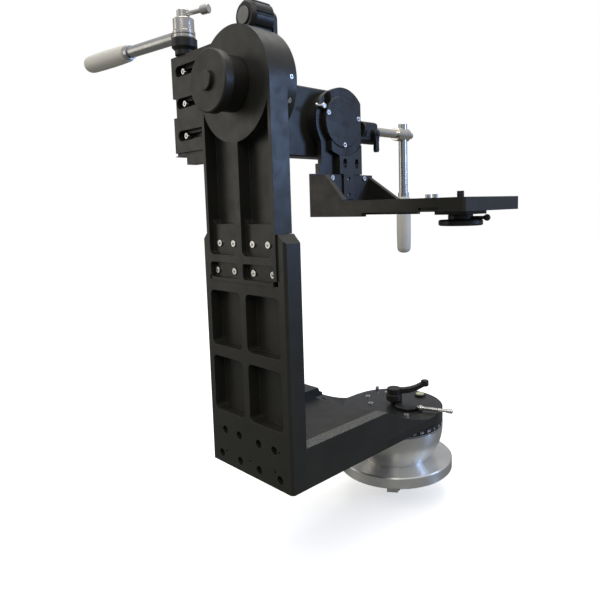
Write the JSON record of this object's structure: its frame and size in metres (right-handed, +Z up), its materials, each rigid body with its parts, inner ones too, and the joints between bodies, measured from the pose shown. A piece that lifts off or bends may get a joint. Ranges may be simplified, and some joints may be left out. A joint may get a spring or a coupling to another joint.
{
  "type": "over-slung fluid video head",
  "caption": "Over-slung fluid video head with pan, side-mounted tilt and roll units, pocketed column, sliding camera bracket and two handles.",
  "frame": {"origin": "on the pan axis at the underside of the base flange, the seat of the support below", "axes": "+Z up along the pan axis, +X the way the camera looks, +Y from the column towards the pan axis, along the tilt axis"},
  "size_m": [0.545, 0.5326, 0.7225],
  "materials": {
    "silver_alu": "satin turned",
    "steel": "satin",
    "bearing_steel": "ground",
    "friction": "matt",
    "black_alu": "black anodised",
    "black_plastic": "satin moulded",
    "bright_steel": "bright",
    "black_steel": "black oxide",
    "vial": "clear over ivory",
    "chrome": "polished",
    "grip_white": "smooth"
  },
  "bodies": {
    "base": {"base_flange": "silver_alu", "base_bowl": "silver_alu", "flange_screws": "steel", "anti_twist_key": "steel", "tie_down_stud": "steel", "pan_shaft": "steel", "pan_scale_ring": "black_alu", "pan_drag_plate": "friction"},
    "tie_down": {"tie_down_nut": "black_plastic"},
    "pan": {"pan_bearing": "bearing_steel", "pan_drum": "black_alu", "level_bezel": "black_alu", "level_vial": "vial", "horizontal_arm": "black_alu", "arm_step_block": "black_alu", "saddle_screws": "steel", "lower_column_plate": "black_alu", "foot_screws": "black_steel", "upper_column_plate": "black_alu", "frame_screws": "bright_steel", "tilt_hub": "black_alu", "tilt_bearing": "bearing_steel"},
    "pan_lock": {"pan_lock_hub": "black_plastic", "pan_lock_lever": "black_plastic"},
    "pan_drag": {"pan_drag_knob": "black_plastic", "pan_drag_lever": "chrome"},
    "tilt_drag": {"tilt_drag_knob": "black_plastic"},
    "tilt": {"tilt_shaft": "steel", "tilt_plate": "black_alu", "lug_bracket": "black_alu", "left_base": "black_plastic"},
    "lug": {"lug_knob": "black_plastic"},
    "balance": {"slot_screws": "bright_steel", "tilt_beam": "black_alu", "roll_housing": "black_alu"},
    "roll": {"roll_shaft": "steel", "roll_plate": "black_alu", "roll_cover": "black_alu", "cover_screws": "bright_steel", "arch_plate": "black_alu", "rail_screws": "black_steel", "right_clamp": "black_plastic"},
    "roll_lock": {"roll_lock_lever": "chrome"},
    "height": {"height_rail": "black_alu", "bracket_back": "black_alu", "bracket_gusset_near": "black_alu", "bracket_gusset_far": "black_alu", "bracket_base": "black_alu", "camera_platform": "black_alu", "bracket_screws": "bright_steel", "platform_clamp": "black_alu"},
    "camera_knob": {"camera_screw": "black_plastic"},
    "left_handle": {"left_head": "chrome", "left_tube": "chrome", "left_grip": "grip_white"},
    "left_clamp": {"left_lever": "chrome"},
    "right_handle": {"right_rod": "chrome", "right_tube": "chrome", "right_grip": "grip_white"},
    "right_lock": {"right_clamp_lever": "black_plastic"}
  },
  "joints": [
    {"name": "tie_down_spin", "type": "hinge", "parent": "base", "child": "tie_down", "pos_m": [0, 0, -0.02], "axis": [0, 0, 1], "continuous": true},
    {"name": "pan", "type": "hinge", "parent": "base", "child": "pan", "pos_m": [0, 0, 0.08], "axis": [0, 0, 1], "continuous": true},
    {"name": "pan_lock_turn", "type": "hinge", "parent": "pan", "child": "pan_lock", "pos_m": [0, 0, 0.105], "axis": [0, 0, 1], "range_deg": [-60, 90]},
    {"name": "pan_drag_turn", "type": "hinge", "parent": "pan", "child": "pan_drag", "pos_m": [0.026, 0, 0.1], "axis": [0, 0, 1], "range_deg": [-20, 60]},
    {"name": "tilt_drag_turn", "type": "hinge", "parent": "pan", "child": "tilt_drag", "pos_m": [0, -0.311, 0.5505], "axis": [0, 1, 0], "continuous": true},
    {"name": "tilt", "type": "hinge", "parent": "pan", "child": "tilt", "pos_m": [0, -0.258, 0.5505], "axis": [0, 1, 0], "range_deg": [-75, 90]},
    {"name": "lug_turn", "type": "hinge", "parent": "tilt", "child": "lug", "pos_m": [-0.02, -0.214, 0.6385], "axis": [0, 1, 0], "continuous": true},
    {"name": "balance_slide", "type": "slide", "parent": "tilt", "child": "balance", "axis": [1, 0, 0], "range_m": [-0.003, 0.044]},
    {"name": "roll", "type": "hinge", "parent": "balance", "child": "roll", "pos_m": [-0.114, 0, 0.545], "axis": [1, 0, 0], "range_deg": [-45, 45]},
    {"name": "roll_lock_turn", "type": "hinge", "parent": "roll", "child": "roll_lock", "pos_m": [-0.1, -0.041, 0.567], "axis": [1, 0, 0], "range_deg": [-15, 15]},
    {"name": "height_slide", "type": "slide", "parent": "roll", "child": "height", "axis": [0, 0, 1], "range_m": [-0.008, 0]},
    {"name": "camera_screw_turn", "type": "hinge", "parent": "height", "child": "camera_knob", "pos_m": [0.119, 0, 0.39], "axis": [0, 0, 1], "continuous": true},
    {"name": "left_handle_swing", "type": "hinge", "parent": "tilt", "child": "left_handle", "pos_m": [-0.145, -0.258, 0.64], "axis": [0, 0, 1], "range_deg": [-50, 60]},
    {"name": "left_lever_turn", "type": "hinge", "parent": "left_handle", "child": "left_clamp", "pos_m": [-0.145, -0.258, 0.668], "axis": [0, 0, 1], "range_deg": [-70, 70]},
    {"name": "right_handle_swing", "type": "hinge", "parent": "roll", "child": "right_handle", "pos_m": [-0.11, 0.1, 0.538], "axis": [0, 1, 0], "range_deg": [-90, 90]},
    {"name": "right_lever_turn", "type": "hinge", "parent": "roll", "child": "right_lock", "pos_m": [-0.096, 0.083, 0.532], "axis": [1, 0, 0], "range_deg": [-40, 70]}
  ]
}
